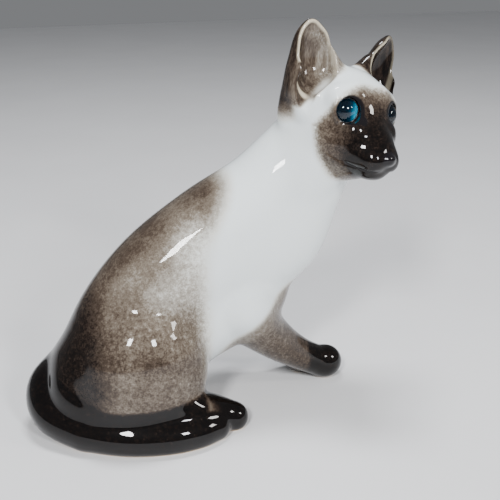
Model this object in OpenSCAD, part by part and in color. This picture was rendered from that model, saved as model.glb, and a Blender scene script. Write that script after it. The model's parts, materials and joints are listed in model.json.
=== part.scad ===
// Ceramic cat figurine: a seated cat with dark points, looking over its right shoulder.
// Hollow slip-cast earthenware, luted together from castings before firing, with two
// foil-backed glass eyes bedded in cement. Millimetres, +Z up, +X the way the chest faces,
// +Y the cat's left. The rest plane is z = 0 and the box of the whole figure is centred on
// the origin in X and Y.

/* [Casting] */
// clay wall left by drain casting
wall = 5; // [3:0.5:7]
// radius of the vent and drain hole under the seat
vent_r = 6; // [3:0.5:10]
// width of the trunk compared with its depth
trunk_width = 0.88; // [0.75:0.01:1.05]

/* [Trunk] */
// height of the withers above the rest plane (centre of the section)
withers_z = 158; // [140:1:175]
// radius of the shoulder section
shoulder_r = 42; // [34:1:50]
// radius of the rump section
rump_r = 46; // [40:1:54]
// sideways reach of the haunch centres
haunch_y = 32; // [24:1:38]

/* [Legs] */
// distance of each forepaw from the line between the legs
foreleg_y = 7.5; // [5:0.5:16]
// how far the left forepaw stands back from the right one
foreleg_step = 15.5; // [0:0.5:25]
// radius of the forepaws
forepaw_r = 13.6; // [10:0.2:16]
// radius of the hind toes
hind_toe_r = 10.5; // [8:0.5:14]

/* [Tail] */
// radius of the tail where it lies along the flank
tail_r = 14; // [10:0.5:16]

/* [Head] */
// heading of the face, measured from the way the chest faces
head_turn = -74; // [-110:1:0]
// tilt of the head, left side down
head_tilt = 12; // [-20:1:25]
// half width of the skull
skull_w = 36; // [30:0.5:40]
// height of the ear tips above the middle of the head
ear_h = 67; // [50:1:75]
// half width of an ear at its root
ear_w = 22; // [16:0.5:25]
// how far each ear opens outwards from the way the face points
ear_turn = 22; // [0:1:45]

/* [Eyes] */
// radius of each glass eye
eye_r = 8; // [6.5:0.25:10]
// how far the glass dome stands out of the lids
eye_dome = 4.4; // [3:0.2:6]
// how far apart the eye centres are from the middle of the face
eye_l = 22; // [18:0.5:26]
// how far each eye looks outwards from the way the face points
eye_turn = 18; // [10:1:40]

/* [Hidden] */
shift = [4.2, 5.65, 0];     // brings the box of the whole figure onto the origin
foil_t = 0.4;
girdle = 3;                 // straight edge of the glass below the dome
bed = 2;                    // cement under the foil
seat_gap = 1;               // cement ring around the glass
head_at = [91, -19, 222];
neck_cut = [70, -6, 196];   // a point on the seam between neck and head
neck_way = [0.62, -0.15, 0.77];

function unit(v) = v / norm(v);
function spot(row) = [row[0], row[1], row[2]];
function between(a, b, c, d, t) =
    0.5 * (2 * b + (c - a) * t + (2 * a - 5 * b + 4 * c - d) * t * t
           + (3 * b - a - 3 * c + d) * t * t * t);
// smooth run of [x, y, z, r] rows through the stations
function curve(s, n) =
    let (last = len(s) - 1, p = concat([2 * s[0] - s[1]], s, [2 * s[last] - s[last - 1]]))
    concat([for (i = [0 : last - 1]) for (k = [0 : n - 1])
                between(p[i], p[i + 1], p[i + 2], p[i + 3], k / n)], [s[last]]);
function heading(rows, i) =
    unit(spot(rows[min(i + 1, len(rows) - 1)]) - spot(rows[max(i - 1, 0)]));
function ring(c, t, r, across, flat, seg) =
    let (n1 = unit(cross(t, across)), n2 = cross(n1, t))
    [for (k = [0 : seg - 1]) c + n1 * r * cos(360 * k / seg) + n2 * r * flat * sin(360 * k / seg)];

// round-ended limb through stations [x, y, z, r]; flat scales it along the across direction
module limb(stations, across = [0, 1, 0], flat = 1, n = 3, seg = 28, cap = 3) {
    rows = curve(stations, n);
    m = len(rows);
    t0 = heading(rows, 0);
    t1 = heading(rows, m - 1);
    a = rows[0];
    b = rows[m - 1];
    rings = concat(
        [for (k = [cap - 1 : -1 : 1])
            ring(spot(a) - t0 * a[3] * sin(90 * k / cap), t0, a[3] * cos(90 * k / cap),
                 across, flat, seg)],
        [for (i = [0 : m - 1]) ring(spot(rows[i]), heading(rows, i), rows[i][3], across, flat, seg)],
        [for (k = [1 : cap - 1])
            ring(spot(b) + t1 * b[3] * sin(90 * k / cap), t1, b[3] * cos(90 * k / cap),
                 across, flat, seg)]);
    count = len(rings);
    points = concat([spot(a) - t0 * a[3]], [for (g = rings) each g], [spot(b) + t1 * b[3]]);
    polyhedron(points, concat(
        [for (k = [0 : seg - 1]) [0, 1 + (k + 1) % seg, 1 + k]],
        [for (i = [0 : count - 2]) for (k = [0 : seg - 1])
            let (p = 1 + i * seg, q = p + seg, j = (k + 1) % seg)
            each [[p + k, q + j, q + k], [p + k, p + j, q + j]]],
        [for (k = [0 : seg - 1])
            let (p = 1 + (count - 1) * seg)
            [p + k, p + (k + 1) % seg, 1 + count * seg]]));
}

module ball(c, radii, seg = 32)
    translate(c) scale(radii) sphere(r = 1, $fn = seg);

// stations of the same form drawn in by the wall, for the drain-cast hollow
function inner(s, by = wall) = [for (row = s) [row[0], row[1], row[2], row[3] - by]];

// ---- forms of the trunk ------------------------------------------------------------------
back_line = [[-83, 0, 44, rump_r], [-70, 0, 76, rump_r - 1.5], [-42, 0, 107, rump_r - 1],
             [-2, 0, withers_z - 25, 46], [36, -1, withers_z, shoulder_r],
             [60, -3, withers_z + 26, 37], [78, -10, withers_z + 50, 34]];
chest_line = [[13, 0, 113, 36.5], [42.5, -1, 136, 40.5], [58.5, -3, 160, 34.5], [69, -6, 184, 29.5]];
belly_line = [[-60, 0, 62, 39], [-14, 0, 81, 41], [20, 0, 91, 35]];

module trunk_forms(by = 0) {
    n = by > 0 ? 2 : 3;
    seg = by > 0 ? 20 : 32;
    limb(inner(back_line, by), flat = trunk_width, n = n, seg = seg + 2);
    limb(inner(chest_line, by), flat = 0.92, n = n, seg = seg);
    limb(inner(belly_line, by), flat = 0.9, n = n, seg = seg - 2);
    ball([-76, 0, 38], [58 - by, 50 - by, 46 - by], seg);
    for (side = [-1, 1]) ball([-68, side * haunch_y, 48], [45 - by, 30 - by, 52 - by], seg);
}

// everything above the rest plane
module above_rest(at = 0)
    translate([-200, -200, at]) cube([400, 400, 400]);

// half space on the head side of the neck seam
module head_side()
    translate(neck_cut) rotate([0, acos(neck_way[2] / norm(neck_way)), 0])
        translate([-150, -150, 0]) cube([300, 300, 300]);

// ---- the head ----------------------------------------------------------------------------
face = [cos(head_turn), sin(head_turn), 0];
left0 = [-sin(head_turn), cos(head_turn), 0];
left = left0 * cos(head_tilt) - [0, 0, 1] * sin(head_tilt);
crown = [0, 0, 1] * cos(head_tilt) + left0 * sin(head_tilt);
function at(f, l, u) = head_at + f * face + l * left + u * crown;
function row(f, l, u, r) = concat(at(f, l, u), [r]);

module in_head(c, turn = 0, lift = 0)
    multmatrix([[face[0], left[0], crown[0], at(c[0], c[1], c[2])[0]],
                [face[1], left[1], crown[1], at(c[0], c[1], c[2])[1]],
                [face[2], left[2], crown[2], at(c[0], c[1], c[2])[2]],
                [0, 0, 0, 1]])
        rotate([0, 0, turn]) rotate([0, -lift, 0]) children();

module skull_forms(by = 0) {
    seg = by > 0 ? 20 : 32;
    in_head([-4, 0, 6]) scale([36 - by, skull_w - by, 33 - by]) sphere(r = 1, $fn = seg);
    limb([row(4, 0, -4, 25 - by), row(26, 0, -11, 18.5 - by), row(37.5, 0, -17, 14 - by)],
         across = left, flat = 1.1, seg = seg - 4);
    limb([row(13, 0, -23, 18 - by), row(33, 0, -24, 11 - by)], across = left, flat = 1.25, seg = seg - 4);
    for (side = [-1, 1])
        in_head([10, side * 17, -12]) scale([22 - by, 15 - by, 17 - by]) sphere(r = 1, $fn = seg - 8);
    if (by == 0) face_forms();
}

// brows, cheekbones, whisker pads, chin, nose, and the roots of the ears
module face_forms() {
    for (side = [-1, 1]) {
        in_head([26, side * 13.5, -4.5]) scale([12, 11, 12]) sphere(r = 1, $fn = 20);
        in_head([42, side * 6.5, -21]) scale([10, 9, 8]) sphere(r = 1, $fn = 20);
        limb([row(17, side * 12, 19, 10), row(14, side * 24, 17, 9)], across = crown, seg = 18, n = 2);
        limb([row(-13.4, side * 24.6, 2, ear_w + 0.5), row(-11, side * 27, 14, ear_w - 1)],
             across = ear_look(side), flat = 0.6, seg = 24, n = 2);
    }
    in_head([37, 0, -29.5]) scale([10, 10, 6]) sphere(r = 1, $fn = 20);
    in_head([50.5, 0, -18.5]) scale([4.5, 6, 4.5]) sphere(r = 1, $fn = 16);
}

// lids stand out as a rounded rim around each eye
module eye_frame(side)
    in_head([24, side * eye_l, 9.7], turn = side * eye_turn, lift = 6) rotate([0, 90, 0]) children();

module lid_rim(side)
    eye_frame(side) rotate_extrude($fn = 32) translate([eye_r + seat_gap + 0.4, -0.8]) circle(r = 1.7, $fn = 10);

module eye_boss(side, grow = 0)
    eye_frame(side) translate([0, 0, -14]) cylinder(r = eye_r + seat_gap + 3 + grow, h = 14, $fn = 32);

module socket(side)
    eye_frame(side) translate([0, 0, -girdle - foil_t - bed])
        cylinder(r = eye_r + seat_gap, h = girdle + foil_t + bed + 12, $fn = 48);

// ---- ears --------------------------------------------------------------------------------
function ear_look(side) = unit(face * cos(ear_turn) + left * side * sin(ear_turn) + crown * 0.12);
// rows forward, outward, up and half width, in the head's frame
ear_rows = [[-11, 27, 14, 0.955], [-8, 36, 46, 0.69], [-8, 38.6, 55, 0.48], [-8, 39.4, 59.8, 0.33]];
scoop_rows = [[4.6, 45.6, 9, 2.5], [3, 44.5, 14, 5], [1.6, 43, 21, 8.5], [-0.4, 39.5, 29, 12.5],
              [-2, 35.5, 37.5, 15], [-2.4, 36, 46, 13], [-3.4, 38.8, 54, 9.2], [-4, 39.8, 58.5, 6.2],
              [-4.4, 40.6, 63.5, 3]];
root_rows = [[-6.5, 38.5, 30, 12], [-4.5, 38.5, 17, 12], [-2.5, 35.5, 5, 9.5]];
flare_rows = [[-7, 20, 45, 4], [-6, 11, 33, 8]];

function ear_path(side, rows, scale_w = 1) =
    [for (e = rows) concat(at(e[0], side * e[1], e[2] * ear_h / 67), [e[3] * scale_w])];

module ear_form(side) {
    limb(ear_path(side, ear_rows, ear_w), across = ear_look(side), flat = 0.6, n = 4, seg = 24, cap = 4);
    limb(ear_path(side, root_rows), across = ear_look(side), seg = 20, n = 2);
    limb(ear_path(side, flare_rows), across = ear_look(side), seg = 18, n = 2);
}

module ear_scoop(side)
    limb(ear_path(side, scoop_rows), across = ear_look(side), flat = 0.75, n = 2, seg = 22);

// ---- limbs -------------------------------------------------------------------------------
function foreleg_line(side) =
    let (y = side * foreleg_y, back = side > 0 ? foreleg_step : 0)
    [[10, y * 2.1, 88, 27.5], [28 - back * 0.13, y * 1.5, 61, 20], [47 - back * 0.32, y * 1.15, 41, 16],
     [66 - back * 0.6, y, 26, forepaw_r], [83 - back * 0.84, y, 15.5, forepaw_r - 0.8]];

module foreleg_form(side) {
    limb(foreleg_line(side), seg = 24);
    ball([90.5 - (side > 0 ? foreleg_step : 0), side * foreleg_y, forepaw_r - 0.8],
         [forepaw_r + 1.4, forepaw_r, forepaw_r + 0.4], 24);
}

module foreleg_bore(side)
    limb([for (i = [0 : 2]) inner(foreleg_line(side), wall + 0.5)[i]], n = 2, seg = 16);

module hind_paw_form(side) {
    back = side > 0 ? 8 : 0;
    limb([[-50 - back, side * 38, 16, 16.5], [-28 - back, side * 42, 13.5, 15],
          [-4 - back, side * 43, 5.5, hind_toe_r]], across = [0, 0, 1], seg = 24);
}

tail_line = [[-110, 14, 40, 21.5], [-132, 10, 27, 19], [-134.5, -13, 16.5, 16.5],
             [-117.5, -36.5, 11.5, tail_r + 1], [-88, -48.5, 10, tail_r], [-52, -55.5, 9.5, tail_r - 1],
             [-28, -57, 8.5, tail_r - 2.5], [-17, -54.5, 7.5, tail_r - 5.5]];

module tail_form()
    limb(tail_line, across = [0, 0, 1], seg = 24);

module tail_bore()
    limb([for (i = [0 : 5]) inner(tail_line, wall + (i > 3 ? 1 : 0))[i]], across = [0, 0, 1], n = 2, seg = 16);

// ---- the hollow --------------------------------------------------------------------------
module hollow() {
    difference() {
        union() {
            intersection() {
                trunk_forms(wall);
                above_rest(wall);
            }
            skull_forms(wall);
            intersection() {
                union() {
                    tail_bore();
                    foreleg_bore(-1);
                    foreleg_bore(1);
                }
                above_rest(wall);
            }
        }
        eye_boss(-1);
        eye_boss(1);
    }
    translate([-76, 0, -1]) cylinder(r = vent_r, h = wall + 12, $fn = 32);
}

module body_outer() {
    difference() {
        intersection() {
            trunk_forms();
            above_rest();
        }
        head_side();
    }
}

module head_outer() {
    intersection() {
        union() {
            trunk_forms();
            skull_forms();
        }
        head_side();
    }
    difference() {
        skull_forms();
        body_outer();
    }
}

// ---- sub-parts ---------------------------------------------------------------------------
module body_casting() color("Ivory") resize([0, 0, 0]) translate(shift) difference() {
    body_outer();
    hollow();
}

module head_casting() color("Linen") resize([0, 0, 0]) translate(shift) difference() {
    union() {
        head_outer();
        lid_rim(-1);
        lid_rim(1);
    }
    socket(-1);
    socket(1);
    hollow();
}

module ear(side) color("Tan") resize([0, 0, 0]) translate(shift) difference() {
    ear_form(side);
    ear_scoop(side);
    head_outer();
    body_outer();
}

module foreleg(side) color("Wheat") resize([0, 0, 0]) translate(shift) difference() {
    intersection() {
        foreleg_form(side);
        above_rest();
    }
    if (side > 0) foreleg_form(-1);
    body_outer();
    hollow();
}

module hind_paw(side) color("SaddleBrown") resize([0, 0, 0]) translate(shift) difference() {
    intersection() {
        hind_paw_form(side);
        above_rest();
    }
    body_outer();
}

module tail() color("SaddleBrown") resize([0, 0, 0]) translate(shift) difference() {
    intersection() {
        tail_form();
        above_rest();
    }
    body_outer();
    hind_paw_form(-1);
    hollow();
}

module glass(side) color("DeepSkyBlue") translate(shift) eye_frame(side)
    rotate_extrude($fn = 64) intersection() {
        translate([0, -girdle]) square([eye_r, girdle + eye_dome + 5]);
        union() {
            translate([0, -girdle]) square([eye_r, girdle]);
            intersection() {
                translate([0, eye_dome - (eye_r * eye_r + eye_dome * eye_dome) / (2 * eye_dome)])
                    circle(r = (eye_r * eye_r + eye_dome * eye_dome) / (2 * eye_dome), $fn = 96);
                square([eye_r, eye_dome + 1]);
            }
        }
    }

module foil(side) color("Silver") translate(shift) eye_frame(side)
    translate([0, 0, -girdle - foil_t]) cylinder(r = eye_r, h = foil_t, $fn = 64);

module cement(side) color("DimGray") translate(shift) eye_frame(side) {
    translate([0, 0, -girdle - foil_t - bed]) difference() {
        cylinder(r = eye_r + seat_gap, h = bed + foil_t + girdle, $fn = 48);
        translate([0, 0, bed]) cylinder(r = eye_r, h = 10, $fn = 64);
    }
}

body_casting();
head_casting();
ear(-1);  // right_ear
ear(1);  // left_ear
foreleg(-1);  // right_foreleg
foreleg(1);  // left_foreleg
hind_paw(-1);  // right_hind_paw
hind_paw(1);  // left_hind_paw
tail();
glass(-1);  // right_eye_glass
glass(1);  // left_eye_glass
foil(-1);  // right_eye_foil
foil(1);  // left_eye_foil
cement(-1);  // right_eye_cement
cement(1);  // left_eye_cement
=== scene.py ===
import json
import math

import bmesh
import bpy
import numpy as np
from mathutils import Matrix, Vector


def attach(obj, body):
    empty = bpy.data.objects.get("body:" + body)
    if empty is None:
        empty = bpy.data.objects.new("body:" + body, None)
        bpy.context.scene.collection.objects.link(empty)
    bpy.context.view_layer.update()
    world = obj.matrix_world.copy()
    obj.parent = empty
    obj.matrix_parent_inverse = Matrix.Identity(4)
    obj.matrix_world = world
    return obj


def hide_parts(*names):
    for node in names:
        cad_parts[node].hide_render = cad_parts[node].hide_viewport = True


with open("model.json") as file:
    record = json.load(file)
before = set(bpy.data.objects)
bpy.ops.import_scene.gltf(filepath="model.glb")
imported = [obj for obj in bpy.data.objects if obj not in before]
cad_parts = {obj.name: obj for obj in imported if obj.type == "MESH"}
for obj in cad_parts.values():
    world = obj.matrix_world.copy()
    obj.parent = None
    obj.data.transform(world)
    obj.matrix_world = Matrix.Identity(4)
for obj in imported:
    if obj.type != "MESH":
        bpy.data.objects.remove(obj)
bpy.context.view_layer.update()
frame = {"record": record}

# The figure is sculpted here as one smooth signed-distance form, in part.scad's millimetres,
# then meshed, and parted into its castings along their seams. Most stations are part.scad's own.
# The tail, the haunch's flare, the hind toes, the ear scoops and the lip differ from it by a few mm.
SHIFT = np.array((4.2, 5.65, 0.0))        # part.scad's shift onto the box's centre
EYE_R, GIRDLE, FOIL, BED, GAP, DOME = 8.0, 3.0, 0.4, 2.0, 1.0, 4.4
BOND = 0.03
BODY_CELL = 1.25
HEAD_CELL = 0.75


def unit(v):
    v = np.asarray(v, float)
    return v / np.linalg.norm(v)


def smoothstep(a, b, x):
    t = np.clip((x - a) / (b - a), 0, 1)
    return t * t * (3 - 2 * t)


# ---- the camera, at the photograph's viewing angle --------------------------------------------
def place_camera(azimuth, elevation, distance, target, angle):
    a, e = math.radians(azimuth), math.radians(elevation)
    back = Vector((math.sin(a) * math.cos(e), -math.cos(a) * math.cos(e), math.sin(e)))
    data = bpy.data.cameras.new("view")
    data.angle = math.radians(angle)
    data.clip_start = 0.01
    cam = bpy.data.objects.new("view", data)
    bpy.context.scene.collection.objects.link(cam)
    cam.location = Vector(target) + back * distance
    cam.rotation_euler = (-back).to_track_quat("-Z", "Y").to_euler()
    bpy.context.scene.camera = cam


place_camera(-21, 22, 0.52, ((0 + SHIFT[0]) * 0.001, (-65 + SHIFT[1]) * 0.001, 0.150), 36.2)


# ---- clay: signed-distance sculpting on a grid ------------------------------------------------
def smooth_curve(stations, per_span):
    s = np.asarray(stations, float)
    p = np.vstack([2 * s[0] - s[1], s, 2 * s[-1] - s[-2]])
    rows = []
    for a, b, c, d in zip(p, p[1:], p[2:], p[3:]):
        for t in np.arange(per_span) / per_span:
            rows.append(0.5 * (2 * b + (c - a) * t + (2 * a - 5 * b + 4 * c - d) * t * t
                               + (3 * b - a - 3 * c + d) * t ** 3))
    return np.array(rows + [s[-1]])


class Ball:
    """An ellipsoid, about its own axes."""

    def __init__(self, centre, radii, axes=None):
        self.c = np.asarray(centre, np.float32)
        self.r = np.broadcast_to(np.asarray(radii, np.float32), 3)
        own = np.eye(3) if axes is None else [unit(a) for a in axes]
        self.axes = np.array(own, np.float32)
        reach = np.sqrt(((self.axes * self.r[:, None]) ** 2).sum(0))
        self.low, self.high = self.c - reach, self.c + reach

    def __call__(self, x, y, z):
        p = [x - self.c[0], y - self.c[1], z - self.c[2]]
        q = [a[0] * p[0] + a[1] * p[1] + a[2] * p[2] for a in self.axes]
        k0 = np.sqrt(sum((v / r) ** 2 for v, r in zip(q, self.r)))
        k1 = np.sqrt(sum((v / (r * r)) ** 2 for v, r in zip(q, self.r))) + 1e-9
        return k0 * (k0 - 1) / k1


class Limb:
    """Round cones chained along a smooth run of [x, y, z, r] stations, flattened along its axes by squash."""

    def __init__(self, stations, squash=(1, 1, 1), axes=None, per_span=6):
        self.s = smooth_curve(stations, per_span)
        self.q = np.asarray(squash, np.float32)
        self.axes = np.eye(3) if axes is None else np.array([unit(a) for a in axes])
        reach = np.sqrt(((self.axes * self.q[:, None]) ** 2).sum(0))
        self.low = (self.s[:, :3] - self.s[:, 3:] * reach).min(0)
        self.high = (self.s[:, :3] + self.s[:, 3:] * reach).max(0)

    def __call__(self, x, y, z):
        a = self.axes.astype(np.float32)
        q = [(a[k][0] * x + a[k][1] * y + a[k][2] * z) / self.q[k] for k in range(3)]
        local = (self.s[:, :3] @ self.axes.T / self.q).astype(np.float32)
        out = None
        for pa, pb, ra, rb in zip(local, local[1:], self.s[:, 3], self.s[1:, 3]):
            ba = pb - pa
            span = float(ba @ ba)
            long, rr = math.sqrt(span), float(ra - rb)
            px, py, pz = q[0] - pa[0], q[1] - pa[1], q[2] - pa[2]
            along = (px * ba[0] + py * ba[1] + pz * ba[2]) / np.float32(long)
            off2 = np.clip(px * px + py * py + pz * pz - along * along, 0, None)
            lean = np.float32(rr / math.sqrt(max(span - rr * rr, 1e-6)))
            t = np.clip((along - np.sqrt(off2) * lean) / np.float32(long), 0, 1)
            d = np.sqrt(off2 + (along - t * np.float32(long)) ** 2) - (np.float32(ra) - np.float32(rr) * t)
            out = d if out is None else np.minimum(out, d)
        return out * np.float32(self.q.min())


class Ring:
    """A torus about a centre and a normal."""

    def __init__(self, centre, normal, major, minor, axes):
        self.c, self.major, self.minor = np.asarray(centre, np.float32), major, minor
        self.axes = np.array([unit(a) for a in axes], np.float32)     # normal first
        self.low, self.high = self.c - major - minor, self.c + major + minor

    def __call__(self, x, y, z):
        p = [x - self.c[0], y - self.c[1], z - self.c[2]]
        w, u, v = [a[0] * p[0] + a[1] * p[1] + a[2] * p[2] for a in self.axes]
        return np.sqrt((np.sqrt(u * u + v * v) - self.major) ** 2 + w * w) - self.minor


class Clay:
    def __init__(self, low, high, cell):
        self.low, self.cell = np.asarray(low, float), cell
        self.shape = np.ceil((np.asarray(high) - self.low) / cell).astype(int) + 1
        self.field = np.full(self.shape, 60.0, np.float32)

    def window(self, low, high):
        a = np.clip(np.floor((low - self.low) / self.cell).astype(int), 0, self.shape)
        b = np.clip(np.ceil((high - self.low) / self.cell).astype(int) + 1, 0, self.shape)
        if (b <= a).any():
            return None, None
        axes = [(self.low[k] + self.cell * np.arange(a[k], b[k])).astype(np.float32) for k in range(3)]
        return tuple(slice(i, j) for i, j in zip(a, b)), np.meshgrid(*axes, indexing="ij", sparse=True)

    def blend(self, form, soft, sign):
        cut, grid = self.window(form.low - soft - 5, form.high + soft + 5)
        if cut is None:
            return
        old = self.field[cut] * sign
        new = form(*grid)
        got = np.minimum(old, new)
        if soft:
            h = np.clip(soft - np.abs(old - new), 0, None) / soft
            got -= h * h * h * soft / 6
        self.field[cut] = got * sign

    def add(self, form, soft=0.0):
        self.blend(form, soft, 1)

    def carve(self, form, soft=0.0):
        self.blend(form, soft, -1)

    def soften(self, passes):
        f = self.field
        for _ in range(passes):
            for axis in range(3):
                g = np.moveaxis(f, axis, 0)
                h = g.copy()
                h[1:-1] = 0.5 * g[1:-1] + 0.25 * (g[:-2] + g[2:])
                f = np.moveaxis(h, 0, axis)
        self.field = np.ascontiguousarray(f)

    def sample(self, points):
        p = (points - self.low) / self.cell
        i = np.clip(np.floor(p).astype(int), 0, self.shape - 2)
        t = (p - i).astype(np.float32)
        out = 0
        for dx in (0, 1):
            for dy in (0, 1):
                for dz in (0, 1):
                    w = ((t[:, 0] if dx else 1 - t[:, 0]) * (t[:, 1] if dy else 1 - t[:, 1])
                         * (t[:, 2] if dz else 1 - t[:, 2]))
                    out = out + w * self.field[i[:, 0] + dx, i[:, 1] + dy, i[:, 2] + dz]
        return out

    def slope(self, points):
        h = self.cell * 0.9
        step = np.eye(3) * h
        return np.stack([self.sample(points + e) - self.sample(points - e) for e in step], 1) / (2 * h)

    def surface(self):
        """Surface nets, closed at the grid's edges, then each vertex drawn onto the zero level."""
        f = self.field
        for k in range(3):
            for end in (0, -1):
                side = np.moveaxis(f, k, 0)[end]
                np.maximum(side, self.cell, out=side)
        inside = f < 0
        count = sum(inside[i:f.shape[0] - 1 + i, j:f.shape[1] - 1 + j, k:f.shape[2] - 1 + k].astype(np.uint8)
                    for i in (0, 1) for j in (0, 1) for k in (0, 1))
        cells = np.argwhere((count > 0) & (count < 8))
        index = np.full(count.shape, -1, np.int64)
        index[tuple(cells.T)] = np.arange(len(cells))
        total, hits = np.zeros((len(cells), 3)), np.zeros(len(cells))
        corner = {(i, j, k): f[cells[:, 0] + i, cells[:, 1] + j, cells[:, 2] + k]
                  for i in (0, 1) for j in (0, 1) for k in (0, 1)}
        for a in corner:
            for axis in range(3):
                if a[axis]:
                    continue
                b = tuple(1 if k == axis else v for k, v in enumerate(a))
                va, vb = corner[a], corner[b]
                cross = (va < 0) != (vb < 0)
                p = np.repeat(np.array([a], float), len(cells), 0)
                p[:, axis] = va / np.where(cross, va - vb, 1)
                total[cross] += p[cross]
                hits[cross] += 1
        verts = (cells + total / hits[:, None]) * self.cell + self.low
        quads = []
        for axis in range(3):
            u, v = [k for k in range(3) if k != axis]
            first, second = [slice(None)] * 3, [slice(None)] * 3
            first[axis], second[axis] = slice(0, -1), slice(1, None)
            one, two = inside[tuple(first)], inside[tuple(second)]
            e = np.argwhere(one != two)
            e = e[(e[:, u] > 0) & (e[:, v] > 0) & (e[:, u] < f.shape[u] - 1) & (e[:, v] < f.shape[v] - 1)]
            du, dv = np.eye(3, dtype=int)[u], np.eye(3, dtype=int)[v]
            q = np.stack([index[tuple((e - du - dv).T)], index[tuple((e - dv).T)],
                          index[tuple(e.T)], index[tuple((e - du).T)]], 1)
            flip = one[tuple(e.T)] == (axis == 1)
            q[flip] = q[flip][:, ::-1]
            quads.append(q)
        for _ in range(2):
            g = self.slope(verts)
            size = (g * g).sum(1)
            step = (self.sample(verts) / np.maximum(size, 0.2))[:, None] * g
            verts = verts - np.clip(step, -self.cell * 0.6, self.cell * 0.6)
        return verts, np.vstack(quads)


# ---- the forms, in part.scad's stations ---------------------------------------------------------
SIDES = (("right", -1), ("left", 1))
TURN, TILT = math.radians(-74), math.radians(12)
FACE = np.array((math.cos(TURN), math.sin(TURN), 0))
LEFT0 = np.array((-math.sin(TURN), math.cos(TURN), 0))
LEFT = LEFT0 * math.cos(TILT) - np.array((0, 0, 1)) * math.sin(TILT)
CROWN = np.array((0, 0, 1)) * math.cos(TILT) + LEFT0 * math.sin(TILT)
HEAD = np.array((FACE, LEFT, CROWN))
HEAD_AT = np.array((91.0, -19.0, 222.0))


def at(f, l, u):
    return HEAD_AT + f * FACE + l * LEFT + u * CROWN


def row(f, l, u, r):
    return (*at(f, l, u), r)


def to_head(p):
    return (p - HEAD_AT) @ HEAD.T


BACK = [(-83, 0, 44, 46), (-70, 0, 76, 44.5), (-42, 0, 107, 45), (-2, 0, 133, 46), (36, -1, 158, 42),
        (60, -3, 184, 37), (78, -10, 208, 34)]
CHEST = [(13, 0, 113, 36.5), (42.5, -1, 136, 40.5), (58.5, -3, 160, 34.5), (69, -6, 184, 29.5)]
BELLY = [(-60, 0, 62, 39), (-14, 0, 81, 41), (20, 0, 91, 35)]
TAIL = [(-110, 14, 40, 21.5), (-132, 11, 27, 19), (-134.5, -9, 17, 16), (-116, -32, 11.5, 14.5),
        (-90, -49, 10, 14), (-62, -57.5, 9.5, 14), (-40, -59, 9, 13), (-24, -57, 8, 10.5)]
# where the haunch flares out and runs into the top of the tail
SKIRT = [(-108, 2, 46, 21), (-118, -11, 36, 18.5), (-114, -25, 30, 15), (-100, -37, 27, 13),
         (-81, -44.5, 26.5, 12), (-60, -49, 26, 11.5), (-41, -51, 24, 11), (-27, -50, 18, 10)]
FORELEG = {-1: [(10, -16, 88, 27.5), (28, -11, 61, 20), (47, -8, 41, 16), (66, -6.5, 26, 13.5),
                (83, -6, 15.5, 12.8)],
           1: [(10, 16, 88, 27.5), (26, 12, 61, 19.5), (42, 9.5, 41, 15), (57, 9, 26, 13), (70, 9, 15, 12)]}
PAW = {-1: (90.5, -6, 13), 1: (75, 9, 11.6)}
HIND = [(-50, 38, 16, 16.5), (-28, 43, 13.5, 15), (-7, 48, 7.5, 11.5)]
# (forward, outward, up, half width) in the head's own frame
EAR = [(-13.4, 24.6, 2, 22.5), (-10.4, 27.6, 15, 22), (-8, 36, 46, 15.2), (-8, 38.6, 55, 10.6),
       (-8, 39.4, 59.8, 7.2)]
EAR_ROOT = [(-6.5, 38.5, 30, 12), (-4.5, 38.5, 17, 12), (-2.5, 35.5, 5, 9.5)]
EAR_FLARE = [(-7, 20, 45, 4), (-6, 11, 33, 8)]
SCOOP = [(4.6, 43.8, 7.5, 3.2), (3.4, 43.2, 13, 5.4), (1.6, 42, 20, 7.6), (-0.8, 37, 28, 11.5),
         (-2.2, 33, 36.5, 14.5), (-2.6, 35.2, 45, 12.9), (-3.2, 39, 53, 9.4), (-4, 40.2, 58.5, 6.3),
         (-4.4, 40.7, 63, 3)]
EAR_LOOK, EYE_TURN = math.radians(22), math.radians(18)


def hind_paw(side, first=0):
    return Limb([(x - (8 if side > 0 else 0), side * y, z, r) for x, y, z, r in HIND[first:]])


def ear_axes(side):
    look = unit(FACE * math.cos(EAR_LOOK) + LEFT * side * math.sin(EAR_LOOK) + CROWN * 0.12)
    rise = unit(at(-9, side * 40, 63) - at(-8, side * 27, 14))
    rise = unit(rise - look * (rise @ look))
    return look, rise, np.cross(look, rise)


def ear_form(side, grow=0.0):
    rows = [row(f, side * l, u, w + grow) for f, l, u, w in EAR]
    return Limb(rows, (0.6, 1, 1), ear_axes(side), per_span=5)


def ear_scoop(side, grow=0.0):
    rows = [row(f, side * l, u, w + grow) for f, l, u, w in SCOOP]
    return Limb(rows, (0.75, 1, 1), ear_axes(side), per_span=5)


def eye_axes(side):
    turn, lift = EYE_TURN * side, math.radians(6)
    out = (FACE * math.cos(turn) * math.cos(lift) + LEFT * math.sin(turn) * math.cos(lift)
           + CROWN * math.sin(lift))
    up = unit(CROWN - out * (CROWN @ out))
    return out, np.cross(up, out), up


def eye_at(side):
    return at(24, side * 22, 9.7)


def sculpt_trunk(clay):
    clay.add(Limb(BACK, (1, 0.88, 1)))
    clay.add(Limb(CHEST, (1, 0.92, 1)), 16)
    clay.add(Limb(BELLY, (1, 0.9, 1)), 14)
    clay.add(Ball((-76, 0, 38), (58, 50, 46)), 18)
    for _, s in SIDES:
        clay.add(Ball((-68, s * 32, 48), (45, 30, 52)), 14)
        clay.add(hind_paw(s), 6)
    for _, s in SIDES:
        clay.add(Limb(FORELEG[s]), 7)
        clay.add(Ball(PAW[s], (15, 13.6, 14.2) if s < 0 else (13.5, 12.5, 12.8)), 4)
    clay.add(Limb(TAIL[:4]), 13)
    clay.add(Limb(TAIL), 6)
    clay.add(Limb(SKIRT), 10)


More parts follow.
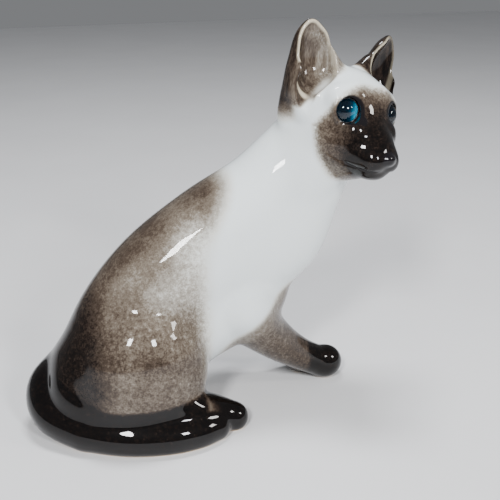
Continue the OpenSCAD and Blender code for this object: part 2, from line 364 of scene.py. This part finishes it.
def sculpt_skull(clay):
    clay.add(Ball(at(-4, 0, 6), (36, 36, 33), HEAD), 16)
    clay.add(Limb([row(4, 0, -4, 25), row(26, 0, -11, 18.5), row(37.5, 0, -17, 14)], (1, 1.1, 1), HEAD), 12)
    clay.add(Limb([row(13, 0, -23, 18), row(33, 0, -24, 11)], (1, 1.25, 1), HEAD), 8)
    for _, s in SIDES:
        clay.add(Ball(at(10, s * 17, -12), (22, 15, 17), HEAD), 10)
        clay.add(Ball(at(26, s * 13.5, -4.5), (12, 11, 12), HEAD), 6)
        clay.add(Limb([row(20, s * 14, -19, 10), row(31, s * 11, -18.5, 9.5), row(41, s * 6, -19.5, 8.5)]), 8)
        clay.add(Limb([row(17, s * 12, 19, 10), row(14, s * 24, 17, 9)]), 8)
        clay.add(Limb([row(f, s * l, u, r) for f, l, u, r in EAR_ROOT]), 8)
        clay.add(Limb([row(f, s * l, u, r) for f, l, u, r in EAR_FLARE]), 6)
        clay.add(ear_form(s), 7)


MOUTH = [(50, 6, -27.5, 0.5), (42, 12, -28, 0.8), (35, 16.5, -27, 0.9), (30, 19.5, -25.5, 0.5)]


def mouth_form(side, grow=0.0):
    return Limb([row(f, side * l, u, r + grow) for f, l, u, r in MOUTH], per_span=4)


def sculpt_face(clay):
    for _, s in SIDES:
        clay.carve(ear_scoop(s), 3)
        out, side, up = eye_axes(s)
        clay.add(Ring(eye_at(s) - out * 0.8, out, EYE_R + 1.4, 1.7, (out, side, up)), 3.5)
        clay.add(Ball(at(42, s * 6.5, -21), (10, 9, 8), HEAD), 5)
    clay.add(Ball(at(50.5, 0, -18.5), (4.5, 6, 4.5), HEAD), 3)
    clay.add(Ball(at(37, 0, -29.5), (10, 10, 6), HEAD), 5)
    for _, s in SIDES:
        clay.carve(mouth_form(s), 1.6)
        clay.carve(Ball(at(56, s * 3.2, -19.5), (1.8, 1.3, 1.1), HEAD), 1)
    clay.carve(Limb([row(57, 0, -21, 0.5), row(54.5, 0, -24, 0.7)]), 1)


def make_clay(low, high, cell, head):
    clay = Clay(low, high, cell)
    sculpt_trunk(clay)
    sculpt_skull(clay)
    clay.soften(max(1, round((1.6 / cell) ** 2)))
    if head:
        sculpt_face(clay)
        clay.soften(1)
    return clay


# ---- meshes ------------------------------------------------------------------------------------
def mesh_object(name, verts, faces):
    mesh = bpy.data.meshes.new(name)
    mesh.from_pydata((np.asarray(verts) + SHIFT).tolist() if len(verts) else [], [],
                     [list(map(int, f)) for f in faces])
    mesh.transform(Matrix.Scale(0.001, 4))
    obj = bpy.data.objects.new(name, mesh)
    bpy.context.scene.collection.objects.link(obj)
    return obj


def hull_object(name, corners):
    obj = mesh_object(name, corners, [])
    bm = bmesh.new()
    bm.from_mesh(obj.data)
    bmesh.ops.convex_hull(bm, input=bm.verts)
    bmesh.ops.delete(bm, geom=[v for v in bm.verts if not v.link_faces], context="VERTS")
    bmesh.ops.recalc_face_normals(bm, faces=bm.faces)
    bm.to_mesh(obj.data)
    bm.free()
    return obj


def boolean(obj, tool, how):
    """obj's mesh after the boolean, leaving both objects as they were."""
    m = obj.modifiers.new("cut", "BOOLEAN")
    m.operation, m.object, m.solver = how, tool, "MANIFOLD"
    bpy.context.view_layer.update()
    mesh = bpy.data.meshes.new_from_object(obj.evaluated_get(bpy.context.evaluated_depsgraph_get()))
    obj.modifiers.clear()
    return mesh


def swap(obj, mesh):
    old = obj.data
    obj.data = mesh
    mesh.name = obj.name
    if old.users == 0:
        bpy.data.meshes.remove(old)


def part_off(name, rest, tool):
    """Takes what lies inside tool off rest, as a new object."""
    piece = bpy.data.objects.new(name, boolean(rest, tool, "INTERSECT"))
    bpy.context.scene.collection.objects.link(piece)
    swap(rest, boolean(rest, tool, "DIFFERENCE"))
    return piece


def half_space(name, point, normal, size=400.0):
    out = unit(normal)
    u = unit(np.cross(out, (0.3, 1, 0.2)))
    v = np.cross(out, u)
    p = np.asarray(point, float)
    return hull_object(name, [p + u * a * size + v * b * size + out * c * size
                              for a in (-1, 1) for b in (-1, 1) for c in (0, 1)])


def tube_object(name, form, grow, cell):
    fat = Limb(form, per_span=4)
    fat.s[:, 3] += grow
    clay = Clay(fat.low - grow - 6, fat.high + grow + 6, cell)
    clay.add(fat)
    return mesh_object(name, *clay.surface())


NECK, NECK_WAY = np.array((70, -6, 196.0)), np.array((0.62, 0, 0.77))

body_clay = make_clay((-166, -86, -16), (132, 78, 236), BODY_CELL, False)
head_clay = make_clay((34, -96, 160), (162, 62, 304), HEAD_CELL, True)
trunk = mesh_object("trunk_clay", *body_clay.surface())
head = mesh_object("head_clay", *head_clay.surface())

tools = []


def tool(obj):
    tools.append(obj)
    return obj


floor_cut = tool(half_space("cut_floor", (0, 0, 0), (0, 0, -1)))
neck_cut = tool(half_space("cut_neck", NECK, NECK_WAY))
swap(trunk, boolean(trunk, floor_cut, "DIFFERENCE"))
swap(trunk, boolean(trunk, neck_cut, "DIFFERENCE"))
swap(head, boolean(head, neck_cut, "INTERSECT"))

pieces = {}
tail_tube = tool(tube_object("cut_tail", TAIL[1:], 1.5, 2.0))
pieces["tail"] = part_off("tail_clay", trunk, tail_tube)
for name, s in SIDES:
    cut = tool(hull_object("cut_paw", [(x, y, z) for x, z in ((-25, -8), (-34, 34), (20, 34), (20, -8))
                                       for y in (s * 27, s * 74)]))
    pieces[name + "_hind_paw"] = part_off(name + "_hind_paw_clay", trunk, cut)
legs_cut = tool(hull_object("cut_legs", [(x, y, z)
                                         for x, z in ((4.9, 58.7), (35.3, -5), (120, -5), (120, 138.7))
                                         for y in (-70, 70)]))
near_leg = tool(tube_object("cut_leg", FORELEG[-1] + [(*PAW[-1], 14.5)], 2.5, 2.0))
swap(near_leg, boolean(near_leg, legs_cut, "INTERSECT"))
pieces["right_foreleg"] = part_off("right_foreleg_clay", trunk, near_leg)
pieces["left_foreleg"] = part_off("left_foreleg_clay", trunk, legs_cut)
for name, s in SIDES:
    cut = tool(half_space("cut_ear", at(-8, s * 24, 31), LEFT * s * 0.62 + CROWN * 0.78, 120))
    pieces[name + "_ear"] = part_off(name + "_ear_clay", head, cut)
pieces["body_casting"], pieces["head_casting"] = trunk, head

# the drain-cast hollow, and the sockets for the eyes
WALL = 5.0
hollow = Clay((-140, -70, -4), (150, 70, 270), 3.0)
for rows, squash, soft in ((BACK, 0.88, 0), (CHEST, 0.92, 12), (BELLY, 0.9, 10)):
    hollow.add(Limb([(*r[:3], r[3] - WALL) for r in rows], (1, squash, 1), per_span=3), soft)
hollow.add(Ball((-76, 0, 38), (53, 45, 41)), 12)
for _, s in SIDES:
    hollow.add(Ball((-68, s * 32, 48), (40, 25, 47)), 8)
hollow.add(Ball(at(-4, 0, 6), (31, 31, 28), HEAD), 8)
hollow.add(Limb([row(4, 0, -4, 20), row(28, 0, -10, 13.5), row(36, 0, -13, 9)], (1, 1.08, 1), HEAD, 3), 6)
for _, s in SIDES:
    hollow.add(Limb([(*r[:3], r[3] - WALL - 1) for r in FORELEG[s][:3]], per_span=3), 4)
hollow.add(Limb([(*r[:3], r[3] - WALL - 1) for r in TAIL[:6]], per_span=3), 4)
for _, s in SIDES:
    out = eye_axes(s)[0]
    hollow.carve(Limb([(*(eye_at(s) - out * 14), 13), (*(eye_at(s) + out * 2), 13)], per_span=1))
    hollow.carve(ear_scoop(s, WALL))
floor_z = (hollow.low[2] + hollow.cell * np.arange(hollow.shape[2])).astype(np.float32)
hollow.field = np.maximum(hollow.field, WALL - floor_z[None, None, :])
hollow.add(Limb([(-76, 0, -3, 6), (-76, 0, 12, 6)], per_span=1))
inside = tool(mesh_object("cut_hollow", *hollow.surface()))
for name in ("body_casting", "head_casting", "right_foreleg", "left_foreleg", "tail"):
    swap(pieces[name], boolean(pieces[name], inside, "DIFFERENCE"))


def lathe(name, axes, centre, profile, seg=72):
    """Turns a profile of (radius, height) rows about an eye's axis. Rows at radius 0 close the ends."""
    out, side, up = axes
    verts, faces, rings = [], [], []
    for r, h in profile:
        base = np.asarray(centre) + out * h
        if r < 1e-6:
            rings.append([len(verts)])
            verts.append(base)
        else:
            rings.append(list(range(len(verts), len(verts) + seg)))
            spin = [2 * math.pi * k / seg for k in range(seg)]
            verts += [base + (side * math.cos(t) + up * math.sin(t)) * r for t in spin]
    closed = len(rings[0]) > 1
    pairs = list(zip(rings, rings[1:])) + ([(rings[-1], rings[0])] if closed else [])
    for a, b in pairs:
        for k in range(seg):
            j = (k + 1) % seg
            if len(a) == 1:
                faces.append((a[0], b[j], b[k]))
            elif len(b) == 1:
                faces.append((a[k], a[j], b[0]))
            else:
                faces.append((a[k], a[j], b[j], b[k]))
    obj = mesh_object(name, verts, faces)
    bm = bmesh.new()
    bm.from_mesh(obj.data)
    bmesh.ops.recalc_face_normals(bm, faces=bm.faces)
    bm.to_mesh(obj.data)
    bm.free()
    obj.data.shade_smooth()
    return obj


for _, s in SIDES:
    deep = -GIRDLE - FOIL - BED
    cut = tool(lathe("cut_socket", eye_axes(s), eye_at(s),
                     [(0, deep), (EYE_R + GAP, deep), (EYE_R + GAP, 14), (0, 14)], 64))
    swap(head, boolean(head, cut, "DIFFERENCE"))

print("clay", {n: len(o.data.polygons) for n, o in pieces.items()})


# ---- where the airbrushed colours go, with some painted shade and highlights -----------------------
def near(form, p):
    return form(*(p[:, k].astype(np.float32) for k in range(3)))


def paint_body(p):
    """Saddle, legs, paws and tail: tone and fleck."""
    x, y, z = p.T
    edge = -25 + 24 * smoothstep(130, 192, z)
    saddle = smoothstep(-11, 10, edge - x)
    spine = smooth_curve([(a, c, r, 0) for a, _, c, r in BACK], 8)[:, :3]
    k = ((x[:, None] - spine[:, 0]) ** 2 + (z[:, None] - spine[:, 1]) ** 2).argmin(1)
    way = np.gradient(spine[:, :2], axis=0)
    way = np.stack([-way[:, 1], way[:, 0]], 1) / np.linalg.norm(way, axis=1)[:, None]
    over = ((x - spine[k, 0]) * way[k, 0] + (z - spine[k, 1]) * way[k, 1]) / spine[k, 2]
    tone = 0.27 + 0.12 * smoothstep(0.3, 0.75, over) + 0.20 * smoothstep(0.72, 0.97, over)
    tone -= 0.20 * np.exp(-((x + 31) / 20) ** 2 - ((z - 150) / 24) ** 2)      # paler cloud on the ribs
    tone += 0.19 * smoothstep(122, 82, z)                                     # the haunch
    band = (z - 67 + (x + 63) * 0.2) / 9
    tone += 0.12 * np.exp(-band ** 2) * smoothstep(-108, -88, x) * smoothstep(-26, -40, x)
    tone += 0.06 * smoothstep(64, 44, z)
    root = smoothstep(-88, -124, x) * smoothstep(108, 66, z)
    tone = saddle * (tone + (0.86 - tone) * root)
    fleck = saddle * (0.7 + 0.3 * smoothstep(120, 80, z))
    # forelegs, speckled below a slanting line
    under = z - 60 - (x + 3.5) * 0.845
    leg = 0.7 * smoothstep(6, -7, under) + 0.3 * smoothstep(-7, -24, under)
    leg = leg * smoothstep(-14, 2, x) * smoothstep(106, 92, z)
    along = x + 15.5 * smoothstep(0, 3, y)
    tone = np.maximum(tone, leg * (0.56 + 0.10 * smoothstep(34, 64, along)))
    fleck = np.maximum(fleck, leg)
    tone = np.maximum(tone, 0.95 * smoothstep(63, 73, along) * smoothstep(50, 34, z))
    # tail, hind paws, and the foot of the haunch beside them
    rise = 35 + 19 * smoothstep(-98, -140, x)
    low = smoothstep(5, -3, z - rise) * smoothstep(-22, -34, x) * smoothstep(18, 2, y)
    tail = smoothstep(8, 2.5, near(Limb(TAIL, per_span=4), p))
    to_paw = np.minimum(*(near(hind_paw(s, 1), p) for _, s in SIDES))
    toes = smoothstep(8, 2, to_paw) * smoothstep(-40, -28, x - y * 0.1)
    return np.maximum(tone, 0.97 * np.maximum(np.maximum(tail, toes), low)), fleck


def paint_masks(p):
    """tone (0 white to 1 black-brown), fleck (how speckled it is), cream_and_highlight (cream ear rims, with
    painted highlights on some ear ridges) and line, for points in mm.
    """
    tone, fleck = paint_body(p)
    hf, hl, hu = to_head(p).T
    # the mask: brown cheeks and brow, nearly black from the eyes forward
    rear = 8 + np.clip(0.7 * (hu + 4), 0, 16) + 0.2 * np.clip(-hu - 4, 0, 40)
    deep = hf - rear
    on_head = ((p - NECK) @ NECK_WAY > -14) * smoothstep(-46, -40, hu)
    mask = 0.50 * smoothstep(-4, 5, deep) + 0.10 * smoothstep(4, 15, deep) + 0.34 * smoothstep(22, 41, hf)
    mask = mask + (0.94 - mask) * smoothstep(25, 34, hf) * smoothstep(-10, -20, hu)
    tone = np.maximum(tone, on_head * mask)
    fleck = np.maximum(fleck, on_head * smoothstep(-5, 2, deep))
    cream_and_highlight = np.zeros_like(tone)
    line = np.zeros_like(tone)
    for _, s in SIDES:
        wide = s * hl
        outer, scoop = near(ear_form(s), p), near(ear_scoop(s), p)
        above = (hu - 37.5 + 0.9 * (wide - 12)) / 1.345
        on_ear = (wide > 6) * smoothstep(9, 3, hf)
        front = on_ear * smoothstep(-2.5, 2.5, above)
        behind = on_ear * smoothstep(-14, 4, above) * smoothstep(0, -9, hf) * (wide > 18)
        inside = smoothstep(2.0, 0.4, np.abs(scoop)) * front
        pale = 0.16 * smoothstep(31, 22, wide) + 0.10 * smoothstep(50, 58, hu)
        # painted shade: the left ear's interior is the same paint as the right's but is given a darker tone,
        # 0.78 against 0.55, for the shade it sits in
        inner_tone_and_shade = (0.55 if s < 0 else 0.78) + 0.12 * smoothstep(34, 44, wide) - pale
        shade = ((0.48 if s < 0 else 0.74) - 0.18 * smoothstep(26, 20, wide) * (s < 0)
                 + (0.26 if s < 0 else 0.08) * smoothstep(-2, -9, hf))
        tone = np.maximum(tone, np.maximum(front, behind) * shade)
        tone = tone + (inner_tone_and_shade - tone) * inside
        fleck = np.maximum(fleck, np.maximum(front, behind))
        # the ear rims are painted cream, and the cream is partly a painted highlight: the right ear's outer
        # fold and tip and the left ear's inner ridge are made brighter where they catch the light, so the two
        # ears differ
        rim = smoothstep(2.1, 0.9, np.maximum(np.abs(outer), np.abs(scoop))) * smoothstep(2, 8, hu)
        rim = rim * (1 - smoothstep(41, 37, wide) * smoothstep(26, 18, hu))
        fold = np.maximum(smoothstep(33, 40, wide), 0.8 * smoothstep(50, 58, hu))
        rim_cream_and_highlight = 0.3 + 0.65 * fold if s < 0 else 0.75 - 0.55 * smoothstep(33, 40, wide)
        cream_and_highlight = np.maximum(cream_and_highlight, rim * rim_cream_and_highlight)
        out, side, up_e = eye_axes(s)
        q = p - eye_at(s)
        w, a, b = q @ out, q @ side * -s, q @ up_e
        lid = smoothstep(10.9, 9.8, np.hypot(a - 1.8, b - 0.5)) * (w > -8)
        corner = np.sqrt(((a - 9.5) / 4.5) ** 2 + ((b + 5.5) / 4.0) ** 2)
        line = np.maximum(line, np.maximum(lid, smoothstep(1.15, 0.7, corner)) * (w > -9) * (hf > 10))
        line = np.maximum(line, 0.9 * smoothstep(1.0, 0.0, near(mouth_form(s), p)))
    leather = near(Ball(at(52, 0, -18.5), (6, 6.5, 5.5), HEAD), p)
    line = np.maximum(line, smoothstep(1.5, -0.5, leather))
    return tone, fleck, cream_and_highlight, line


def finish_clay(obj, clay):
    """Smooth normals from the clay's own slope, flat ones on the seams, and the colour masks."""
    mesh = obj.data
    n = len(mesh.vertices)
    co = np.empty(n * 3, np.float32)
    mesh.vertices.foreach_get("co", co)
    p = co.reshape(-1, 3).astype(float) * 1000 - SHIFT
    g = clay.slope(p)
    normal = g / np.maximum(np.linalg.norm(g, axis=1), 1e-6)[:, None]
    mesh.shade_smooth()
    count = len(mesh.polygons)
    centre, flat = np.empty(count * 3, np.float32), np.empty(count * 3, np.float32)
    mesh.polygons.foreach_get("center", centre)
    mesh.polygons.foreach_get("normal", flat)
    centre, flat = centre.reshape(-1, 3).astype(float) * 1000 - SHIFT, flat.reshape(-1, 3)
    gc = clay.slope(centre)
    gc /= np.maximum(np.linalg.norm(gc, axis=1), 1e-6)[:, None]
    skin = (np.abs(clay.sample(centre)) < 0.5) & ((gc * flat).sum(1) > 0.5)
    sizes, starts = np.empty(count, np.int32), np.empty(count, np.int32)
    mesh.polygons.foreach_get("loop_total", sizes)
    mesh.polygons.foreach_get("loop_start", starts)
    owner = np.repeat(np.arange(count), sizes)
    vert = np.empty(len(mesh.loops), np.int32)
    mesh.loops.foreach_get("vertex_index", vert)
    loops = np.where(skin[owner][:, None], normal[vert], flat[owner])
    mesh.normals_split_custom_set(loops.tolist())
    for name, values in zip(("tone", "fleck", "cream_and_highlight", "line"), paint_masks(p)):
        layer = mesh.attributes.new(name, "FLOAT", "POINT")
        layer.data.foreach_set("value", values.astype(np.float32))


for name, obj in pieces.items():
    finish_clay(obj, head_clay if name.endswith(("ear", "head_casting")) else body_clay)
for obj in tools:
    data = obj.data
    bpy.data.objects.remove(obj)
    bpy.data.meshes.remove(data)


# ---- materials -------------------------------------------------------------------------------------
class Nodes:
    def __init__(self, name):
        self.mat = bpy.data.materials.new(name)
        self.mat.use_nodes = True
        self.tree = self.mat.node_tree
        self.tree.nodes.clear()
        self.out = self.add("ShaderNodeOutputMaterial")

    def add(self, kind, **values):
        node = self.tree.nodes.new(kind)
        for key, value in values.items():
            if hasattr(node, key) and key not in node.inputs:
                setattr(node, key, value)
            else:
                self.put(node.inputs[key], value)
        return node

    def put(self, socket, value):
        if isinstance(value, bpy.types.NodeSocket):
            self.tree.links.new(value, socket)
        else:
            socket.default_value = value

    def math(self, how, a, b=0.0, c=0.0, clamp=False):
        node = self.tree.nodes.new("ShaderNodeMath")
        node.operation, node.use_clamp = how, clamp
        for socket, value in zip(node.inputs, (a, b, c)):
            self.put(socket, value)
        return node.outputs[0]

    def noise(self, where, scale, detail=3.0, rough=0.55, distort=0.0):
        node = self.tree.nodes.new("ShaderNodeTexNoise")
        for key, value in (("Vector", where), ("Scale", scale), ("Detail", detail), ("Roughness", rough),
                           ("Distortion", distort)):
            self.put(node.inputs[key], value)
        return node.outputs[0]

    def map(self, value, a, b, c=0.0, d=1.0):
        node = self.tree.nodes.new("ShaderNodeMapRange")
        node.interpolation_type = "SMOOTHSTEP"
        for socket, v in zip(node.inputs, (value, a, b, c, d)):
            self.put(socket, v)
        return node.outputs[0]

    def mix(self, t, a, b):
        node = self.tree.nodes.new("ShaderNodeMix")
        node.data_type = "RGBA"
        self.put(node.inputs[0], t)
        self.put(node.inputs[6], a)
        self.put(node.inputs[7], b)
        return node.outputs[2]

    def ramp(self, value, stops):
        node = self.tree.nodes.new("ShaderNodeValToRGB")
        self.put(node.inputs[0], value)
        band = node.color_ramp
        band.interpolation = "LINEAR"
        while len(band.elements) > 1:
            band.elements.remove(band.elements[-1])
        band.elements[0].position, band.elements[0].color = stops[0][0], (*stops[0][1], 1)
        for place, colour in stops[1:]:
            band.elements.new(place).color = (*colour, 1)
        return node.outputs[0]


def glaze(name):
    n = Nodes(name)
    where = n.add("ShaderNodeTexCoord").outputs["Object"]
    get = {k: n.add("ShaderNodeAttribute", attribute_name=k).outputs["Fac"]
           for k in ("tone", "fleck", "cream_and_highlight", "line")}
    # short fur strokes on the ears, round specks elsewhere
    stroke = n.add("ShaderNodeMapping", Vector=where)
    stroke.inputs["Scale"].default_value = (1, 1, 0.2) if name.startswith("ear") else (1, 1, 1)
    fine = n.noise(stroke.outputs[0], 900.0, 2.0, 0.6)
    grain = n.noise(stroke.outputs[0], 330.0, 4.0, 0.7)
    cloud = n.noise(where, 42.0, 3.0, 0.55)
    wide = n.noise(where, 14.0, 2.0, 0.5)
    speck = n.math("ADD", n.math("MULTIPLY", n.math("SUBTRACT", fine, 0.5), 0.9),
                   n.math("MULTIPLY", n.math("SUBTRACT", grain, 0.5), 1.5))
    drift = n.math("ADD", n.math("MULTIPLY", n.math("SUBTRACT", cloud, 0.5), 0.45),
                   n.math("MULTIPLY", n.math("SUBTRACT", wide, 0.5), 0.35))
    body = n.math("MULTIPLY", get["tone"], n.math("SUBTRACT", 1.0, get["tone"]))
    sway = n.math("MULTIPLY", n.math("MULTIPLY", body, 3.0), drift)
    dots = n.math("MULTIPLY", n.math("MULTIPLY", get["fleck"], 0.42), speck)
    fade = n.map(get["tone"], 0.0, 0.10)
    tone = n.math("ADD", get["tone"], n.math("ADD", sway, n.math("MULTIPLY", dots, fade)), clamp=True)
    colour = n.ramp(tone, (
        (0.00, (0.73, 0.78, 0.79)), (0.10, (0.60, 0.60, 0.56)), (0.24, (0.325, 0.302, 0.262)),
        (0.40, (0.155, 0.128, 0.100)), (0.58, (0.062, 0.045, 0.033)), (0.78, (0.015, 0.0095, 0.007)),
        (0.92, (0.004, 0.0023, 0.0018)), (1.00, (0.0015, 0.001, 0.001))))
    # cream on the ear rims, partly a painted highlight along their ridges
    colour = n.mix(get["cream_and_highlight"], colour, (0.56, 0.50, 0.38, 1))
    colour = n.mix(get["line"], colour, (0.006, 0.005, 0.006, 1))
    # bare clay where the glaze is wiped off the foot
    height = n.add("ShaderNodeSeparateXYZ", Vector=where).outputs[2]
    uneven = n.math("MULTIPLY", n.math("SUBTRACT", grain, 0.5), 0.0012)
    foot = n.map(n.math("ADD", height, uneven), 0.0017, 0.0009)
    clay_colour = n.mix(n.map(grain, 0.35, 0.65), (0.42, 0.30, 0.19, 1), (0.52, 0.39, 0.26, 1))
    colour = n.mix(foot, colour, clay_colour)
    ripple = n.noise(where, 70.0, 2.0, 0.4)
    wavy = n.math("ADD", n.math("MULTIPLY", ripple, 0.6), n.math("MULTIPLY", cloud, 0.8))
    bump = n.add("ShaderNodeBump", Height=wavy, Strength=0.10, Distance=0.0008)
    shader = n.add("ShaderNodeBsdfPrincipled")
    n.put(shader.inputs["Base Color"], colour)
    n.put(shader.inputs["Roughness"], n.math("ADD", 0.45, n.math("MULTIPLY", foot, 0.4)))
    shader.inputs["Specular IOR Level"].default_value = 0.02
    n.put(shader.inputs["Normal"], bump.outputs[0])
    n.put(shader.inputs["Coat Weight"], n.math("SUBTRACT", 1.0, foot))
    shader.inputs["Coat Roughness"].default_value = 0.025
    shader.inputs["Coat IOR"].default_value = 1.38
    n.put(n.out.inputs[0], shader.outputs[0])
    return n.mat


def glass(name):
    n = Nodes(name)
    shader = n.add("ShaderNodeBsdfPrincipled")
    where = n.add("ShaderNodeTexCoord").outputs["Object"]
    seed = n.noise(where, 500.0, 2.0)
    n.put(shader.inputs["Base Color"],
          n.mix(n.map(seed, 0.4, 0.62), (0.10, 0.52, 0.64, 1), (0.14, 0.58, 0.70, 1)))
    shader.inputs["Roughness"].default_value = 0.0
    shader.inputs["IOR"].default_value = 1.5
    shader.inputs["Transmission Weight"].default_value = 1.0
    through = n.add("ShaderNodeBsdfTransparent")
    through.inputs[0].default_value = (0.55, 0.88, 0.93, 1)
    pick = n.add("ShaderNodeMixShader")
    n.put(pick.inputs[0], n.add("ShaderNodeLightPath").outputs["Is Shadow Ray"])
    n.put(pick.inputs[1], shader.outputs[0])
    n.put(pick.inputs[2], through.outputs[0])
    n.put(n.out.inputs[0], pick.outputs[0])
    return n.mat


def foil(name):
    n = Nodes(name)
    where = n.add("ShaderNodeTexCoord").outputs["Object"]
    crinkle = n.noise(where, 700.0, 3.0, 0.6)
    wide = n.noise(where, 150.0, 2.0, 0.5)
    shader = n.add("ShaderNodeBsdfPrincipled")
    # painted highlight: a brighter crescent on each foil disc, standing in for the light the dome gathers
    # there
    painted_light = n.add("ShaderNodeAttribute", attribute_name="painted_light").outputs["Fac"]
    painted_shine = n.math("ADD", painted_light, n.math("MULTIPLY", n.math("SUBTRACT", wide, 0.5), 0.3), clamp=True)
    n.put(shader.inputs["Base Color"], n.ramp(painted_shine, ((0.0, (0.0, 0.004, 0.008)), (0.5, (0.0, 0.02, 0.035)),
                                                      (0.75, (0.0, 0.11, 0.16)), (1.0, (0.0, 0.27, 0.36)))))
    shader.inputs["Specular IOR Level"].default_value = 0.0
    n.put(shader.inputs["Roughness"], n.map(crinkle, 0.3, 0.7, 0.25, 0.42))
    bump = n.add("ShaderNodeBump", Height=crinkle, Strength=0.35, Distance=0.0003)
    n.put(shader.inputs["Normal"], bump.outputs[0])
    n.put(n.out.inputs[0], shader.outputs[0])
    return n.mat


def cement(name):
    n = Nodes(name)
    where = n.add("ShaderNodeTexCoord").outputs["Object"]
    lump = n.noise(where, 420.0, 3.0, 0.6)
    shader = n.add("ShaderNodeBsdfPrincipled")
    n.put(shader.inputs["Base Color"],
          n.mix(n.map(lump, 0.35, 0.7), (0.006, 0.005, 0.006, 1), (0.02, 0.016, 0.015, 1)))
    n.put(shader.inputs["Roughness"], n.map(lump, 0.3, 0.7, 0.18, 0.4))
    bump = n.add("ShaderNodeBump", Height=lump, Strength=0.5, Distance=0.0003)
    n.put(shader.inputs["Normal"], bump.outputs[0])
    n.put(n.out.inputs[0], shader.outputs[0])
    return n.mat


def plain(name, colour, rough):
    n = Nodes(name)
    where = n.add("ShaderNodeTexCoord").outputs["Object"]
    shader = n.add("ShaderNodeBsdfPrincipled")
    soft = n.noise(where, 6.0, 3.0)
    darker = tuple(c * 0.97 for c in colour)
    n.put(shader.inputs["Base Color"], n.mix(n.map(soft, 0.3, 0.7), (*darker, 1), (*colour, 1)))
    shader.inputs["Roughness"].default_value = rough
    n.put(n.out.inputs[0], shader.outputs[0])
    return n.mat


slots = {part["node"]: part["material_slot"] for part in frame["record"]["subparts"]}
finishes = {}
for slot in sorted(set(slots.values())):
    make = {"eye_glass": glass, "eye_foil": foil, "eye_cement": cement}.get(slot, glaze)
    finishes[slot] = make(slot + "_finish")


def hand_over(obj, node):
    obj.data.materials.clear()
    obj.data.materials.append(finishes[slots[node]])
    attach(obj, "root")
    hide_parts(node)


for name, obj in pieces.items():
    hand_over(obj, name)

# ---- the eyes ------------------------------------------------------------------------------------
for name, s in SIDES:
    axes, centre = eye_axes(s), eye_at(s)
    sag = (EYE_R ** 2 + DOME ** 2) / (2 * DOME)
    dome = [(sag * math.sin(t), sag * math.cos(t) - sag + DOME)
            for t in np.linspace(math.asin(EYE_R / sag), 0, 15)[1:-1]]
    profile = ([(0, -GIRDLE), (EYE_R - 0.35, -GIRDLE), (EYE_R - 0.08, -GIRDLE + 0.12), (EYE_R, -GIRDLE + 0.4),
                (EYE_R, -0.35), (EYE_R - 0.1, -0.05)] + dome + [(0, DOME)])
    hand_over(lathe(name + "_eye_dome", axes, centre, profile), name + "_eye_glass")
    back = -GIRDLE - FOIL
    # the foil is bonded to the glass: its face is set BOND into it, so there is no air between them
    dish = [(r, BOND - GIRDLE) for r in np.linspace(EYE_R - 0.1, 0.6, 12)]
    disc = lathe(name + "_eye_foil_disc", axes, centre,
                 [(0, back), (EYE_R - 0.1, back)] + dish + [(0, BOND - GIRDLE)])
    away = [(np.array(v.co) * 1000 - SHIFT - centre) for v in disc.data.vertices]
    # painted highlight: the foil is coloured brighter in a crescent on its nose side, where the dome would
    # gather the light, and less so in the left eye
    toward = [-s * (q @ axes[1]) - 0.05 * (q @ axes[2]) ** 2 for q in away]
    nose = [float((0.75 - 0.25 * s) * smoothstep(-1.5, 6.5, t)) for t in toward]
    disc.data.attributes.new("painted_light", "FLOAT", "POINT").data.foreach_set("value", nose)
    hand_over(disc, name + "_eye_foil")
    deep = -GIRDLE - FOIL - BED
    rim = EYE_R + GAP
    hand_over(lathe(name + "_eye_setting", axes, centre,
                    [(0, deep), (rim - 0.3, deep), (rim, deep + 0.3), (rim, -0.25), (rim - 0.25, 0.02),
                     (EYE_R + 0.35, 0.12), (EYE_R + 0.06, -0.05), (EYE_R + 0.06, -GIRDLE - FOIL),
                     (0, -GIRDLE - FOIL)]), name + "_eye_cement")

# ---- floor and light -------------------------------------------------------------------------------
bpy.ops.mesh.primitive_plane_add(size=6, location=(0, 0, 0))
floor = bpy.context.object
floor.name = "floor"
floor.data.materials.append(plain("floor_finish", (0.74, 0.74, 0.75), 0.55))


def softbox(name, place, aim, size, power, colour=(1, 1, 1)):
    data = bpy.data.lights.new(name, "AREA")
    data.shape, data.size, data.size_y, data.energy, data.color = "RECTANGLE", size[0], size[1], power, colour
    lamp = bpy.data.objects.new(name, data)
    bpy.context.scene.collection.objects.link(lamp)
    lamp.location = place
    lamp.rotation_euler = (Vector(aim) - Vector(place)).to_track_quat("-Z", "Y").to_euler()


softbox("key", (-0.75, -1.05, 1.15), (0, 0, 0.12), (0.22, 0.34), 26)
softbox("window", (0.35, -1.5, 1.0), (0, 0, 0.15), (0.20, 0.34), 19, (0.97, 0.98, 1.0))
softbox("fill", (1.3, -0.9, 0.9), (0, 0, 0.15), (0.25, 0.25), 8, (1.0, 0.97, 0.93))
softbox("top", (0.1, 0.25, 1.7), (0, 0, 0.1), (0.5, 0.3), 24, (0.95, 0.97, 1.0))
world = bpy.data.worlds.new("studio")
bpy.context.scene.world = world
world.use_nodes = True
world.node_tree.nodes["Background"].inputs[0].default_value = (0.78, 0.80, 0.83, 1)
world.node_tree.nodes["Background"].inputs[1].default_value = 0.26
